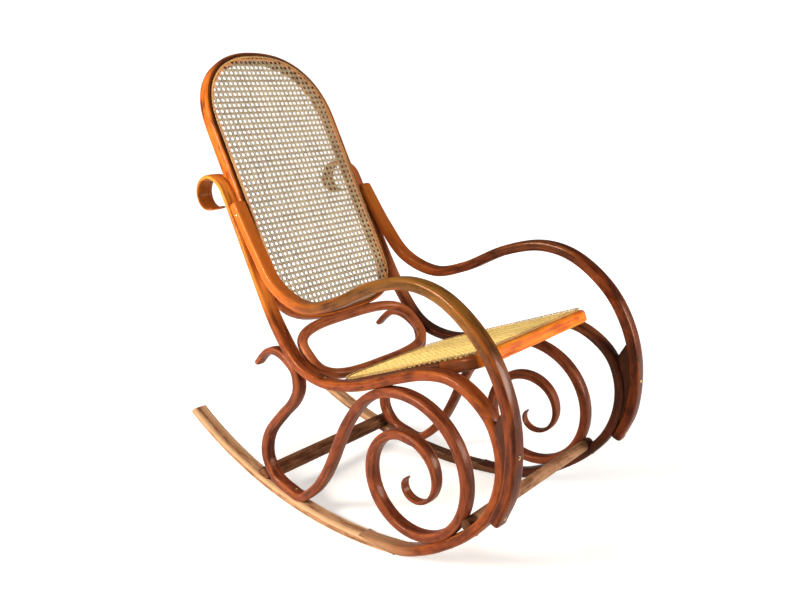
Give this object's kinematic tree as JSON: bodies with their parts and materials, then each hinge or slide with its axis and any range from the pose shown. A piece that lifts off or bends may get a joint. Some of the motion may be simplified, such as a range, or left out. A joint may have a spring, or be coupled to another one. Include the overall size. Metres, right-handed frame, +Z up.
{
  "type": "bentwood rocking chair",
  "caption": "Bentwood rocking chair with a caned back and seat, scrolled side braces, swept arms and long curved runners.",
  "frame": {"origin": "on the floor, below the middle of the chair's overall width and length", "axes": "+Z up, +Y to the rear, so the sitter faces -Y; +X is the sitter's left"},
  "size_m": [0.5366, 1.0052, 1.0548],
  "materials": {
    "bent_rod": "red-brown varnish, satin",
    "arm_rod": "red-brown varnish, satin",
    "dark_rod": "darker red-brown varnish, satin",
    "worn_rod": "worn, partly bare",
    "back_wood": "red-brown varnish, satin",
    "seat_wood": "orange-brown varnish, gloss",
    "bar_wood": "worn, grey-brown",
    "back_cane": "woven cane, aged and matt",
    "seat_cane": "woven cane, pale straw",
    "binder_cane": "flat cane strip over the groove"
  },
  "bodies": {
    "root": {"side_bend_right": "bent_rod", "runner_right": "worn_rod", "scroll_bend_right": "dark_rod", "arm_right": "arm_rod", "arm_block_right": "arm_rod", "side_bend_left": "bent_rod", "runner_left": "worn_rod", "scroll_bend_left": "dark_rod", "arm_left": "arm_rod", "arm_block_left": "arm_rod", "back_frame": "back_wood", "back_cane": "back_cane", "back_binder": "binder_cane", "lower_ring": "dark_rod", "seat_front_rail": "seat_wood", "seat_rear_rail": "seat_wood", "seat_side_rail_right": "seat_wood", "seat_side_rail_left": "seat_wood", "seat_cane": "seat_cane", "seat_binder": "binder_cane", "front_stretcher": "bar_wood", "rear_stretcher": "bar_wood"}
  },
  "joints": []
}
